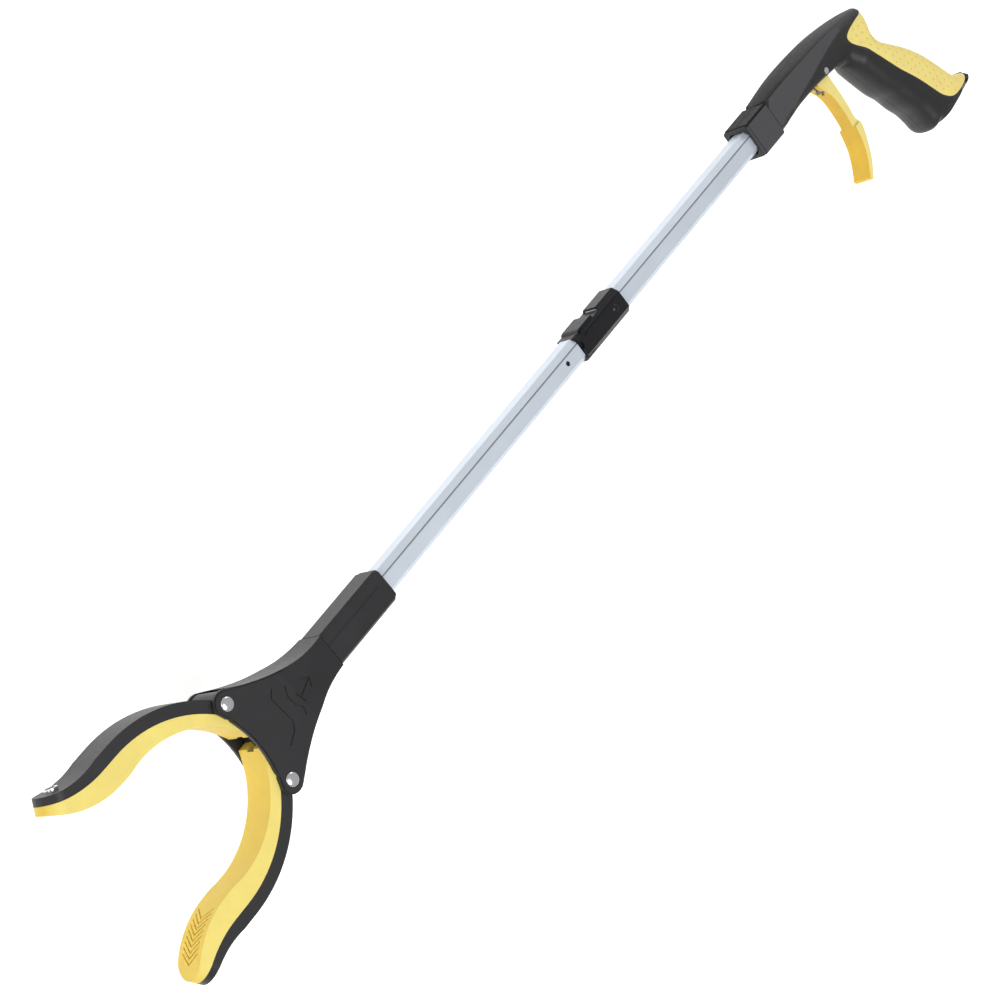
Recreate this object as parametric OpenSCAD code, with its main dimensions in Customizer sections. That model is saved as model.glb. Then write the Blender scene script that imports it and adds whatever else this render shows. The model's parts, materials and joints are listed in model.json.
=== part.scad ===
// Folding reacher grabber: pistol handle, two tubes with a fold joint, swivelling head, two jaws.
// Millimetres. The tube axis is X, pointing from the handle to the jaws. +Y is the trigger side,
// +Z is the left side, and the whole thing lies on its right side with its lowest face at Z = 0.

/* [Tubes] */
// Width of the tube across its flats
tube_width = 15; // [12:0.5:20]
// Bare length of the rear tube, from the handle collar to the fold sleeve
rear_tube_visible = 152; // [90:1:260]
// Length of the fold sleeve
sleeve_length = 45; // [38:1:60]
// Bare length of the front tube, from the fold sleeve to the head collar
front_tube_visible = 197; // [100:1:280]
// Width of the small flats along the tube corners
tube_corner = 3; // [1:0.5:4]

/* [Head] */
// Length of the collar behind the head
head_collar_length = 52; // [40:1:70]
// Distance from the collar seam to the line of the two rivets
head_length = 68; // [60:1:90]
// Distance of each jaw rivet from the tube axis
rivet_offset = 26.6; // [24:0.2:32]
// Half thickness of the head
head_half = 14.2; // [13:0.1:17]

/* [Jaws] */
// Width of a jaw band, across the gripping face
jaw_width = 22; // [18:1:22]
// Distance from the rivet line to the jaw tips
jaw_reach = 106; // [100:1:114]
// Number of tread chevrons on each gripping tip
tread_count = 9; // [0:1:9]

/* [Handle] */
// Half thickness of the handle shells
handle_half = 14.5; // [13:0.5:17]
// Radius of the rounded handle edges
handle_round = 6; // [3:0.5:7]
// Length of the separate collar at the front of the handle
collar_length = 23.5; // [18:0.5:30]

/* [Trigger] */
// Half width of the upper trigger
trigger_neck_half = 5; // [4:0.5:6]
// Half width of the lower trigger
trigger_blade_half = 7.5; // [6:0.5:10]

/* [Hidden] */
$fn = 48;
eps = 0.01;

// Chain of stations along X, measured from the mouth of the handle collar.
sleeve_start = rear_tube_visible;
sleeve_end = sleeve_start + sleeve_length;
head_collar_start = sleeve_end + front_tube_visible;
head_seam = head_collar_start + head_collar_length;
rivet_x = head_seam + head_length;
butt_reach = 187.5;

// The origin is the middle of the box round the whole object, on the surface it lies on.
frame_x = -(rivet_x + jaw_reach - butt_reach) / 2;
frame_y = -9.6;
frame_z = 15.7;

// Tube and sleeve.
tube_half = tube_width / 2;
tube_wall = 1;
tube_tail = 48;
sleeve_half = tube_half + 1.4;
slide_gap = 0.1;
rear_tube_end = sleeve_end - 27;
fold_x = sleeve_end - 7;
fold_y = -5.5;
knuckle_radius = tube_half - 0.1 - fold_y - 0.1;
tube_socket = 28;
cable_radius = 0.8;

// Handle stations, as distance behind the mouth and distance toward the trigger.
pivot_s = 80.5;
pivot_t = 5.6;
pivot_radius = 2;
pin_half = 11.9;
rod_arm = 10.5;
rod_swing = 15;
rod_radius = 1.1;
rod_s = pivot_s - rod_arm * sin(rod_swing);
rod_t = pivot_t + rod_arm * cos(rod_swing);
rod_bend_s = rod_s - 0.7 * rod_t;
wall = 2.6;

// Head and jaws, measured from the middle of the rivet line.
rivet_radius = 2.5;
rivet_head = 3.9;
plate_inside = 11.3;
drive_x = -10.7;
drive_y = rivet_offset - 14;
drive_radius = 2;
slot_half = 3.2;
bow_x = 62;
bow_y = rivet_offset - 46.6;
bow_line = 72;
bow_outer = 79;
liner_thin = 5.5;
liner_thick = 12;
liner_gap = 4;
eye_step = 0.1;
flare_x = 72;
flare_y = bow_y + bow_line + 64;
flare_line = 64;
flare_outer = 60;
flare_swell = 3;
pad_x = 68;
pad_radius = 54;
pad_y = bow_y + bow_line - liner_thick + pad_radius;
jaw_gap = 2;
magnet_x = 95;

// ---------- placing ----------

module place() {
  translate([frame_x, frame_y, frame_z]) children();
}

// Handle shapes are drawn with s backward from the mouth and t toward the trigger.
module behind_mouth() {
  place() mirror([1, 0, 0]) children();
}

module at_rivets() {
  place() translate([rivet_x, 0, 0]) children();
}

// ---------- curves ----------

function curve_point(a, b, c, d, u) =
  0.5 * (2 * b + (c - a) * u + (2 * a - 5 * b + 4 * c - d) * u * u
  + (3 * b - a - 3 * c + d) * u * u * u);

// Smooth open run through the points p, with n steps between neighbours.
function run(p, n) = [
  for (i = [0 : len(p) - 2], j = [0 : n - 1])
    curve_point(p[max(i - 1, 0)], p[i], p[i + 1], p[min(i + 2, len(p) - 1)], j / n)
];

function unit(v) = v / max(norm(v), 0.0001);
function left_of(v) = [-v[1], v[0]];

// Share of the edge rounding that fits: less on the thin heel of the butt, the beak and the crisp top.
function ease(a) = (a[1] > 72 && a[0] > 150) ? 0.18 : (a[1] < -1 || (a[1] < 3 && a[0] > 108)) ? 0.2 : 1;

// Closed outline p moved inward by d; the outline turns anticlockwise.
function inset(p, d) = [
  for (i = [0 : len(p) - 1])
    let (
      k = len(p),
      u = unit(p[i] - p[(i + k - 1) % k]),
      v = unit(p[(i + 1) % k] - p[i]),
      m = unit(left_of(u) + left_of(v)),
      c = max(m * left_of(u), 0.6)
    )
    p[i] + m * d * ease(p[i]) / c
];

// Prism from z = low to z = high with its upper edge rounded by r, and its lower edge by q.
module soft_prism(p, low, high, r, q, steps) {
  k = len(p);
  up = [for (i = [1 : steps]) [r * (1 - cos(90 * i / steps)), high - r + r * sin(90 * i / steps)]];
  down = [for (i = [steps : -1 : 1]) [q * (1 - cos(90 * i / steps)), low + q - q * sin(90 * i / steps)]];
  levels = concat(q > 0 ? down : [], [[0, low + q], [0, high - r]], up);
  points = [for (l = levels) for (a = inset(p, l[0])) [a[0], a[1], l[1]]];
  top = len(levels) - 1;
  sides = [
    for (l = [0 : top - 1], i = [0 : k - 1], h = [0, 1])
      let (a = l * k + i, b = l * k + (i + 1) % k)
      h == 0 ? [a, a + k, b + k] : [a, b + k, b]
  ];
  caps = [[for (i = [0 : k - 1]) i], [for (i = [k - 1 : -1 : 0]) top * k + i]];
  polyhedron(points = points, faces = concat(sides, caps), convexity = 8);
}

// ---------- shared sections ----------

// Square bar section with flats across its corners.
module bar_section(half_y, half_z, corner) {
  polygon([
    [-half_z + corner, -half_y], [half_z - corner, -half_y],
    [half_z, -half_y + corner], [half_z, half_y - corner],
    [half_z - corner, half_y], [-half_z + corner, half_y],
    [-half_z, half_y - corner], [-half_z, -half_y + corner]
  ]);
}

// Bar along X from x0 to x1.
module bar(x0, x1, half_y, half_z, corner) {
  translate([x0, 0, 0])
    rotate([0, 90, 0])
      linear_extrude(x1 - x0)
        bar_section(half_y, half_z, corner);
}

module rod_x(x0, x1, r) {
  translate([x0, 0, 0]) rotate([0, 90, 0]) cylinder(r = r, h = x1 - x0);
}

module rod_z(r, low, high) {
  translate([0, 0, low]) cylinder(r = r, h = high - low);
}

// Domed head whose flat side is at z = 0.
module dome(r, h) {
  ball = (r * r + h * h) / (2 * h);
  intersection() {
    translate([0, 0, h - ball]) sphere(r = ball, $fn = 64);
    cylinder(r = r, h = h + 1);
  }
}

// Pan head screw driven from below, with its tip up.
module screw(head_z, tip_z, r) {
  rod_z(r, head_z, tip_z);
  difference() {
    rod_z(2 * r, head_z - 1.8, head_z);
    translate([0, 0, head_z - 1.8]) cube([2.6 * r, 0.6, 1.6], center = true);
    translate([0, 0, head_z - 1.8]) cube([0.6, 2.6 * r, 1.6], center = true);
  }
}

// ---------- handle ----------

shell_top = [
  [24, -11.6], [39, -12.4], [52, -12.8], [72, -12.6], [92, -11.7], [106, -10.4],
  [122, -8.2], [134, -5.8], [140.5, -4]
];
shell_nose = [[140.5, -4], [139.6, -2.6], [134, -2.4], [125, -1.4], [114, 0.2]];
shell_back = [
  [114, 0.2], [111.4, 4.4], [117.7, 15.6], [124.7, 29.1], [131.7, 42.8], [139.4, 55.4],
  [146.2, 69.1], [150.1, 76.8], [156.8, 83], [165.4, 84.2], [176, 82.8], [185.5, 81.2]
];
shell_heel = [[185.5, 81.2], [187.3, 82], [187, 84.4], [184, 85.8], [170, 88], [152, 90.2], [139, 91.2]];
shell_front = [
  [139, 91.2], [133.5, 90.5], [131, 86], [130, 80.5], [128, 72.8], [123.6, 64], [120, 54.3],
  [115.5, 46.5], [111.4, 36], [107, 24], [104, 16.5], [101, 13.6], [96, 12.4], [85, 11.2],
  [76, 10], [65, 9.2], [49.5, 9.2], [39, 10.2], [29, 11.4], [24, 11.6]
];
handle_outline = concat(
  run(shell_top, 2), run(shell_nose, 1), run(shell_back, 2),
  run(shell_heel, 1), run(shell_front, 2), [[24, 11.6]]
);

body_hollow = [
  [51, -9.6], [72, -9.8], [92, -9], [106, -7], [104, -1.5], [85, 1.5], [65, 4], [51, 5]
];
grip_hollow = [
  [117, 17], [120.6, 30.3], [127.6, 44], [135.3, 56.6], [142, 70.2], [146, 79], [149, 84.5],
  [138, 86.5], [134.4, 80], [131.6, 71], [127, 62], [123.3, 52.7], [118.8, 45], [115, 35], [112.5, 26]
];

screw_front = [98, -2.5];
screw_neck = [125.5, 47];
screw_butt = [141.5, 80.5];

// Solid outside of one shell, with its hollow and its trigger slot.
module shell_form() {
  difference() {
    soft_prism(handle_outline, 0, handle_half, handle_round, 0, 3);
    // the flat side narrows to the beak, and below it the side falls in toward the trigger
    intersection() {
      translate([24, 8, handle_half])
        rotate([0, 0, -8])
          rotate([-20, 0, 0])
            translate([-60, -100, 0]) cube([260, 200, 60]);
      translate([112, 0, handle_half])
        rotate([0, -35, 0])
          translate([-200, -100, 0]) cube([400, 200, 60]);
    }
    // front end slopes down to the collar
    translate([66, -30, handle_half])
      rotate([0, 5.2, 0])
        translate([-90, 0, 0]) cube([90, 60, 30]);
    difference() {
      translate([0, 0, -1])
        linear_extrude(handle_half - wall + 1) {
          polygon(body_hollow);
          polygon(grip_hollow);
        }
      for (p = [screw_front, screw_neck, screw_butt])
        translate([p[0], p[1], -2]) cylinder(r = 4, h = 40, $fn = 16);
      translate([pivot_s, pivot_t, 6.2]) cylinder(r = 4.5, h = 40, $fn = 16);
    }
    // tube socket and the way of the pull rod
    mirror([1, 0, 0])
      bar(-tube_tail - 0.2, 0, tube_half + 0.05, tube_half + 0.05, tube_corner);
    translate([tube_tail, -2.5, -1]) cube([6, 7, 5]);
    // slot for the trigger
    translate([61, -3, -1]) cube([42, 21, 7.2]);
  }
}

module shell_half() {
  difference() {
    resize([0, 0, 0]) shell_form();
    translate([pivot_s, pivot_t, -1]) cylinder(r = pivot_radius, h = 40);
  }
}

module screw_seat(p) {
  translate([p[0], p[1], -handle_half - 1]) {
    cylinder(r = 3.2, h = 6.5);
    cylinder(r = 1.6, h = 20);
  }
}

module handle_shell_left() {
  color("#34363a") behind_mouth()
    difference() {
      shell_half();
      for (p = [screw_front, screw_neck, screw_butt])
        translate([p[0], p[1], -1]) cylinder(r = 1.5, h = 8.5);
    }
}

module handle_shell_right() {
  color("#303236") behind_mouth()
    difference() {
      mirror([0, 0, 1]) shell_half();
      for (p = [screw_front, screw_neck, screw_butt]) screw_seat(p);
    }
}

module handle_collar() {
  color("#3a3c40") place()
    difference() {
      union() {
        bar(-collar_length, -2, 11.4, 10.7, 1.2);
        bar(-2, 0, 11, 10.3, 1);
      }
      bar(-collar_length - 1, 1, tube_half + 0.05, tube_half + 0.05, tube_corner);
      bar(-9, 1, tube_half + 1.1, tube_half + 1.1, tube_corner + 0.3);
      // moulding line along the top
      translate([-collar_length - 1, -11.9, -0.3]) cube([collar_length + 2, 0.8, 0.6]);
    }
}

pad_rear = [
  [139.3, -2.1], [135.5, 6], [133, 12.6], [135, 19.4], [141.6, 26.6], [150.8, 36], [159.5, 48],
  [166.6, 62], [171.4, 72], [175.6, 77], [184, 80.4]
];
pad_front = [
  [184, 80.4], [176, 82.5], [165.4, 83.9], [157, 82.7], [150.4, 76.6], [146.5, 69], [139.7, 55.3],
  [132, 42.7], [125, 29], [118, 15.5], [111.8, 4.4], [114.3, 0.6], [125, -1], [139.3, -2.1]
];
pad_outline = concat(run(pad_rear, 3), run(pad_front, 3));

module grip_pad() {
  color("#f0e08a") behind_mouth()
    resize([0, 0, 0])
      difference() {
        soft_prism(pad_outline, -handle_half - 0.3, handle_half + 0.3, 5, 5, 4);
        linear_extrude(60, center = true) offset(delta = 0.05) polygon(handle_outline);
      }
}

module handle_screw(p) {
  color("#8d9094") behind_mouth()
    translate([p[0], p[1], 0]) screw(-handle_half + 5.5, 6.5, 1.5);
}

module handle_screw_front() {
  handle_screw(screw_front);
}

module handle_screw_neck() {
  handle_screw(screw_neck);
}

module handle_screw_butt() {
  handle_screw(screw_butt);
}

module trigger_pin() {
  color("#c9ccd0") behind_mouth()
    translate([pivot_s, pivot_t, 0])
      rod_z(pivot_radius - 0.02, -pin_half, pin_half);
}

// ---------- trigger ----------

trigger_front = [
  [73.5, 10.5], [74.6, 13.5], [77.4, 18.5], [79.2, 25], [79.3, 37], [78.2, 46], [75, 58.5],
  [69.5, 68.5], [63.5, 76]
];
trigger_tip = [[63.5, 76], [64.4, 78], [66.6, 78.6], [68.4, 77.4]];
trigger_back = [
  [68.4, 77.4], [76.2, 69], [82.2, 59], [86.4, 49.5], [85.6, 46], [84.4, 43], [85.4, 35], [86, 25],
  [86, 14], [85.8, 8], [84.6, 4]
];
trigger_root = [[84.6, 4], [82.6, 1.6], [79.4, 1.2], [76.8, 3], [75.6, 6.5], [73.5, 10.5]];
trigger_outline = concat(
  run(trigger_front, 3), run(trigger_tip, 2), run(trigger_back, 3), run(trigger_root, 2)
);

module trigger() {
  color("#f2dc7c") behind_mouth()
    difference() {
      union() {
        linear_extrude(2 * trigger_neck_half, center = true)
          polygon(trigger_outline);
        // wider lower blade behind the step
        linear_extrude(2 * trigger_blade_half, center = true)
          intersection() {
            polygon(trigger_outline);
            translate([-2.6, 0]) polygon(trigger_outline);
            translate([40, 46.5]) square([60, 60]);
          }
      }
      // fork that lets the pull rod in
      translate([60, 0, -1.7]) cube([30, 19.4, 3.4]);
      translate([pivot_s, pivot_t, -20]) cylinder(r = pivot_radius + 0.06, h = 40);
      translate([rod_s, rod_t, 0]) rod_z(2, -3.6, 3.6);
      // hollow behind the blade
      linear_extrude(2 * trigger_neck_half - 3, center = true)
        intersection() {
          translate([3.4, 0]) polygon(trigger_outline);
          translate([60, 24]) square([60, 50]);
        }
    }
}

// Rod end: straight in the tube, bent down to the trigger, with a cross pin in the fork.
module pull_rod_rear() {
  color("#b9bcc0") place() {
    rod_x(-rod_bend_s, rear_tube_end - 3, rod_radius);
    translate([-rod_bend_s, 0, 0]) sphere(r = rod_radius);
    translate([-rod_bend_s, 0, 0])
      rotate([0, 0, 180 - atan2(rod_t, rod_s - rod_bend_s)])
        rotate([0, 90, 0]) cylinder(r = rod_radius, h = norm([rod_t, rod_s - rod_bend_s]));
    translate([-rod_s, rod_t, 0]) rod_z(1.4, -3.4, 3.4);
    rod_x(rear_tube_end - 9, rear_tube_end - 3, 2.2);
  }
}

// ---------- tubes and fold joint ----------

module hollow_tube(x0, x1) {
  difference() {
    bar(x0, x1, tube_half, tube_half, tube_corner);
    bar(x0 - 1, x1 + 1, tube_half - tube_wall, tube_half - tube_wall, tube_corner - 0.6);
    // shallow groove along each side
    for (z = [-1, 1])
      translate([x0 - 1, -4.2, z * tube_half - 0.3]) cube([x1 - x0 + 2, 0.8, 0.6]);
  }
}

module rear_tube() {
  color("#c3ccd6") place()
    difference() {
      hollow_tube(-tube_tail, rear_tube_end);
      translate([sleeve_start + 9, 0, 0]) rod_z(1.5, -20, 20);
    }
}

module fold_sleeve() {
  color("#26282b") place()
    difference() {
      union() {
        bar(sleeve_start, sleeve_end, sleeve_half, sleeve_half, tube_corner + 0.4);
        // lengthwise rib on each side
        for (z = [-1, 1])
          translate([sleeve_start + 2, -4.6, z * sleeve_half - 0.5]) cube([sleeve_length - 8, 1.6, 1]);
      }
      bar(sleeve_start - 1, rear_tube_end + 0.05, tube_half + 0.05, tube_half + 0.05, tube_corner);
      // the way the folded tube swings through
      translate([rear_tube_end, -20, -tube_half - slide_gap])
        cube([60, 20 - tube_half + 0.6, tube_width + 2 * slide_gap]);
      intersection() {
        translate([rear_tube_end + 6.5, -20, -tube_half - slide_gap])
          cube([60, 20 + tube_half + 0.05, tube_width + 2 * slide_gap]);
        union() {
          translate([fold_x, fold_y, 0]) rod_z(knuckle_radius + 0.1, -10, 10);
          translate([fold_x, -20, -10]) cube([60, 40, 20]);
        }
      }
      rod_x(rear_tube_end - 1, rear_tube_end + 20, 3);
      translate([fold_x, fold_y, 0]) rod_z(pivot_radius, -20, 20);
      translate([sleeve_start + 9, 0, 0]) rod_z(1.5, -20, 20);
      // notch at the front end
      translate([sleeve_end, -1.4, 0]) rod_z(2.4, 0, 20);
    }
}

module sleeve_rivet() {
  color("#9a9da2") place()
    translate([sleeve_start + 9, 0, 0])
      difference() {
        union() {
          rod_z(1.48, -sleeve_half, sleeve_half);
          translate([0, 0, sleeve_half]) dome(2.4, 0.8);
          mirror([0, 0, 1]) translate([0, 0, sleeve_half]) dome(2.4, 0.8);
        }
        // the rod runs through the middle
        rod_x(-5, 5, 3);
      }
}

module fold_pin() {
  color("#a6a9ae") place()
    translate([fold_x, fold_y, 0]) rod_z(pivot_radius - 0.02, -sleeve_half, sleeve_half);
}

module fold_knuckle() {
  half = tube_half - 0.05;
  color("#1d1f22") place()
    difference() {
      union() {
        intersection() {
          translate([fold_x, fold_y, 0]) rod_z(knuckle_radius, -half, half);
          translate([fold_x - 30, -sleeve_half, -10]) cube([30 + eps, 2 * sleeve_half, 20]);
        }
        translate([fold_x, -tube_half, -half]) cube([sleeve_end + 0.5 - fold_x, tube_width - 0.1, 2 * half]);
        intersection() {
          translate([fold_x, fold_y, 0]) rod_z(3.4, -half, half);
          translate([fold_x, -20, -10]) cube([20, 40, 20]);
        }
        bar(
          sleeve_end - 1, sleeve_end + 24, tube_half - tube_wall - 0.1,
          tube_half - tube_wall - 0.1, tube_corner - 0.5
        );
      }
      rod_x(fold_x - 30, sleeve_end + 30, 1.8);
      translate([fold_x, fold_y, 0]) rod_z(pivot_radius + 0.06, -20, 20);
      translate([sleeve_end + 14, 0, 0]) rod_z(1.5, -20, 20);
      // relief beside the front tube where it leaves the sleeve
      translate([sleeve_end - 3, -tube_half - 1, tube_half - 1.2]) cube([10, 1.4, 4]);
    }
}

module knuckle_rivet() {
  color("#9a9da2") place()
    translate([sleeve_end + 14, 0, 0])
      difference() {
        rod_z(1.48, -tube_half + 0.4, tube_half - 0.4);
        rod_x(-5, 5, 1.8);
      }
}

module front_tube() {
  color("#c3ccd6") place()
    difference() {
      hollow_tube(sleeve_end + 0.5, head_collar_start + tube_socket);
      translate([sleeve_end + 14, 0, 0]) rod_z(1.5, -20, 20);
    }
}

cable_back = fold_x - 5;
stem_back = rivet_x - 30;

module pull_cable_front() {
  color("#b9bcc0") place() {
    rod_x(cable_back, stem_back + 5, cable_radius);
    rod_x(cable_back, cable_back + 3, 1.4);
    rod_x(stem_back + 3.2, stem_back + 8, 2.2);
  }
}

// ---------- head ----------

module head_collar() {
  color("#37393d") place()
    difference() {
      union() {
        bar(head_collar_start, head_collar_start + 2, 9.4, 9, 1.6);
        bar(head_collar_start + 2, head_seam - 0.2, 10.2, 9.6, 1.6);
      }
      bar(
        head_collar_start - 1, head_collar_start + tube_socket + 0.05,
        tube_half + 0.05, tube_half + 0.05, tube_corner
      );
      rod_x(head_collar_start, head_seam + 1, 6);
      // crease along the left and right faces
      for (z = [-1, 1])
        translate([head_collar_start + 6, -3.2, z * 9.6 - 0.3]) cube([head_collar_length + 2, 0.6, 0.6]);
    }
}

module swivel_bush() {
  color("#5b5e63") place()
    difference() {
      union() {
        rod_x(head_collar_start + tube_socket + 0.1, head_seam + 14, 5.98);
        rod_x(head_seam + 6, head_seam + 9, 8);
      }
      rod_x(head_collar_start, head_seam + 20, 2.4);
    }
}

head_side = [
  [-67.8, 10.2], [-60, 10.4], [-50, 11.8], [-40, 14.8], [-30, 18.6], [-22, 22.4], [-14, 26.8],
  [-8, 30.6], [-4.1, 33]
];
lobe_radius = 7.6;

function flip_y(p) = [for (i = [len(p) - 1 : -1 : 0]) [p[i][0], -p[i][1]]];

head_hollow_side = [
  [-25, 18.4], [-22, 20.6], [-14, 24.8], [-10.2, 27.2], [-10, 60], [60, 60]
];
head_screw_x = -35;
head_screw_y = 10.6;

// Plan of the head, with its edge moved in by d.
module head_plan(d) {
  side = [for (p = concat(run(head_side, 2), [[-4.1, 33]])) [p[0], p[1] - d]];
  difference() {
    union() {
      polygon(concat(side, [[4, 22], [4, -22]], flip_y(side)));
      for (y = [-1, 1])
        translate([0, y * rivet_offset]) circle(r = lobe_radius - d, $fn = 64);
    }
    translate([64.1, 0]) circle(r = 62.7 + d, $fn = 96);
  }
}

module head_half_shell() {
  difference() {
    union() {
      linear_extrude(head_half - 0.9) head_plan(0);
      linear_extrude(head_half) head_plan(0.9);
    }
    // flat top rises from the collar to the rivets
    translate([-34, -60, head_half])
      rotate([0, -7.6, 0])
        translate([-90, 0, 0]) cube([90, 120, 30]);
    // room for the jaws
    translate([0, 0, -1])
      linear_extrude(plate_inside + 1)
        polygon(concat(head_hollow_side, flip_y(head_hollow_side)));
    // room for the slider and its spring
    translate([-54, -5.4, -1]) cube([30, 10.8, 6.4]);
    // bearing for the bush
    rod_x(-70, -53, 6.08);
    rod_x(-62.1, -58.9, 8.1);
    for (y = [-1, 1]) translate([0, y * rivet_offset, 0]) rod_z(rivet_radius, -20, 20);
  }
}

// One straight line mark cut in the face, from a to b.
module mark_line(a, b) {
  d = b - a;
  translate([a[0], a[1], 0])
    rotate([0, 0, atan2(d[1], d[0])])
      translate([-0.4, -0.4, 0]) cube([norm(d) + 0.8, 0.8, 6]);
}

module mark_path(p) {
  for (i = [0 : len(p) - 2]) mark_line(p[i], p[i + 1]);
}

// Line marks: a plain arrow with a base bar, a bent line and a long hooked line.
module head_marks() {
  // the face slopes down toward the collar behind the marks
  slope = 7.6;
  translate([-34, 0, head_half - 0.5])
    rotate([0, -slope, 0])
      translate([34, 0, 0]) {
        mark_path([[-34, 1.5], [-46, -1.5]]);
        mark_path([[-43.6, 2.6], [-46, -1.5], [-42, -4.2]]);
        mark_path([[-33.2, -1.6], [-34.8, 4.6]]);
      }
  translate([0, 0, head_half - 0.5]) {
    mark_path([[-31, -9], [-28.5, -4], [-29, 2], [-31.5, 6], [-30.5, 9.5]]);
    mark_path([[-24, -13.5], [-20.5, -10], [-21.8, 7], [-19, 10.5], [-12, 14]]);
  }
}

module head_shell_left() {
  color("#3c3e42") at_rivets()
    difference() {
      head_half_shell();
      head_marks();
      for (y = [-1, 1]) translate([head_screw_x, y * head_screw_y, -1]) cylinder(r = 1.4, h = 9);
    }
}

module head_shell_right() {
  color("#36383c") at_rivets()
    difference() {
      mirror([0, 0, 1]) head_half_shell();
      for (y = [-1, 1])
        translate([head_screw_x, y * head_screw_y, -head_half - 1]) {
          cylinder(r = 1.5, h = 20);
          cylinder(r = 3, h = 4.2);
        }
    }
}

module head_screw(y) {
  color("#8d9094") at_rivets()
    translate([head_screw_x, y * head_screw_y, 0]) screw(-head_half + 3.2, 7, 1.4);
}

module head_screw_upper() {
  head_screw(-1);
}

module head_screw_lower() {
  head_screw(1);
}

module jaw_rivet(y) {
  color("#e4e6e8") at_rivets()
    translate([0, y * rivet_offset, 0]) {
      rod_z(rivet_radius - 0.02, -head_half, head_half);
      translate([0, 0, head_half]) dome(rivet_head, 1.5);
      mirror([0, 0, 1]) translate([0, 0, head_half]) dome(rivet_head, 1.5);
    }
}

module jaw_rivet_upper() {
  jaw_rivet(-1);
}

module jaw_rivet_lower() {
  jaw_rivet(1);
}

spring_back = head_seam + 14.2;
spring_front = stem_back - 0.2;
spring_turns = 7;

// Rings joined by short bridges, one per turn.
module return_spring() {
  pitch = (spring_front - spring_back - 1) / spring_turns;
  color("#b4b7bb") place()
    translate([spring_back + 0.5, 0, 0])
      rotate([0, 90, 0]) {
        for (i = [0 : spring_turns])
          translate([0, 0, i * pitch])
            rotate_extrude($fn = 24) translate([3.8, 0]) circle(r = 0.5, $fn = 14);
        for (i = [0 : spring_turns - 1])
          rotate([0, 0, 180 * (i % 2)])
            translate([3.8, 0, i * pitch]) cylinder(r = 0.45, h = pitch, $fn = 14);
      }
}

module pull_slider() {
  color("#55585d") place()
    difference() {
      union() {
        translate([stem_back, -4.4, -4.4]) cube([14, 8.8, 8.8]);
        translate([rivet_x - 17, -4.4, -2.8]) cube([8, 8.8, 5.6]);
        translate([0, 0, -2.8])
          linear_extrude(5.6)
            polygon([
              [rivet_x - 16.5, -17], [rivet_x - 14.5, -20.3], [rivet_x - 5, -20.3],
              [rivet_x - 5, 20.3], [rivet_x - 14.5, 20.3], [rivet_x - 16.5, 17]
            ]);
      }
      for (y = [-1, 1])
        translate([rivet_x + drive_x, y * (drive_y + 9.2), 0]) cube([5.1, 24, 20], center = true);
      // pocket for the cable end, open on the left side
      rod_x(stem_back - 1, stem_back + 8.2, 1);
      rod_x(stem_back + 3, stem_back + 8.2, 2.4);
      translate([stem_back - 1, -1, 0]) cube([5, 2, 10]);
      translate([stem_back + 3, -2.4, 0]) cube([5.2, 4.8, 10]);
    }
}

// ---------- jaws, drawn for the lower one ----------

// Points on an arc about c, from angle a0 to angle a1.
function arc(c, r, a0, a1, n) = [
  for (i = [0 : n]) let (a = a0 + (a1 - a0) * i / n) [c[0] + r * cos(a), c[1] + r * sin(a)]
];

bow_centre = [bow_x, bow_y];
flare_centre = [flare_x, flare_y];
pad_centre = [pad_x, pad_y];

// Angle at which an arc of the bow comes down to the middle gap.
function bow_low(r) = 180 - asin((jaw_gap - bow_y) / r);
// Angle at which an outward arc reaches the tip.
function tip_angle(c, r) = asin((jaw_reach - c[0]) / r) - 90;

// Face between arm and liner, from the middle to past the tip.
function parting(gap) = concat(
  arc(bow_centre, bow_line - gap, bow_low(bow_line), 90, 24),
  arc(flare_centre, flare_line + gap, -90, tip_angle(flare_centre, flare_line) + 9, 16)
);

// Outside of the flare: the arm thins from the end of the bow toward the tip.
flare_face = [
  for (i = [16 : -1 : 0])
    let (
      u = i / 16,
      a = -90 + (tip_angle(flare_centre, flare_outer) + 100) * u,
      r = flare_outer - flare_swell * (1 - u) * (1 - u)
    )
    flare_centre + r * [cos(a), sin(a)]
];

// Outside of the arm, closed well inside the parting face.
module arm_plan() {
  polygon(concat(
    arc(bow_centre, bow_outer, 90, bow_low(bow_outer), 24),
    [[bow_x - 61, jaw_gap], [bow_x, bow_y + 61], [jaw_reach + 12, bow_y + 61]],
    flare_face
  ));
}

// Everything on the gripping side of the parting face.
module gripping_side() {
  polygon(concat(
    [[bow_x - bow_line + 3.45, jaw_gap - 20]], parting(0), [[jaw_reach + 20, 90], [jaw_reach + 20, -18]]
  ));
}

// Gripping face of the bow: the liner thickens from the middle toward the pad.
bow_face = [
  for (i = [24 : -1 : 0])
    let (
      u = i / 24,
      a = bow_low(bow_line) + (90 - bow_low(bow_line)) * u,
      r = bow_line - liner_thin - (liner_thick - liner_thin) * u * u
    )
    bow_centre + r * [cos(a), sin(a)]
];

module liner_plan() {
  intersection() {
    polygon(concat(
      parting(0.02), arc(pad_centre, pad_radius, tip_angle(pad_centre, pad_radius) + 9, -90, 16), bow_face
    ));
    translate([-40, liner_gap]) square([200, 120]);
  }
}

// Keeps a jaw band inside its width, with a round spoon end square to the run of the tip.
module band_limit() {
  half = jaw_width / 2;
  lean = tip_angle(flare_centre, flare_line) + 90;
  translate(flare_centre + flare_line * [sin(lean), -cos(lean)])
    rotate([0, 0, lean])
      rotate([-90, 0, 0])
        translate([0, 0, -160])
          linear_extrude(320) {
            translate([-260, -half]) square([260 - half, jaw_width]);
            translate([-half, 0]) circle(r = half, $fn = 64);
          }
}

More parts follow.
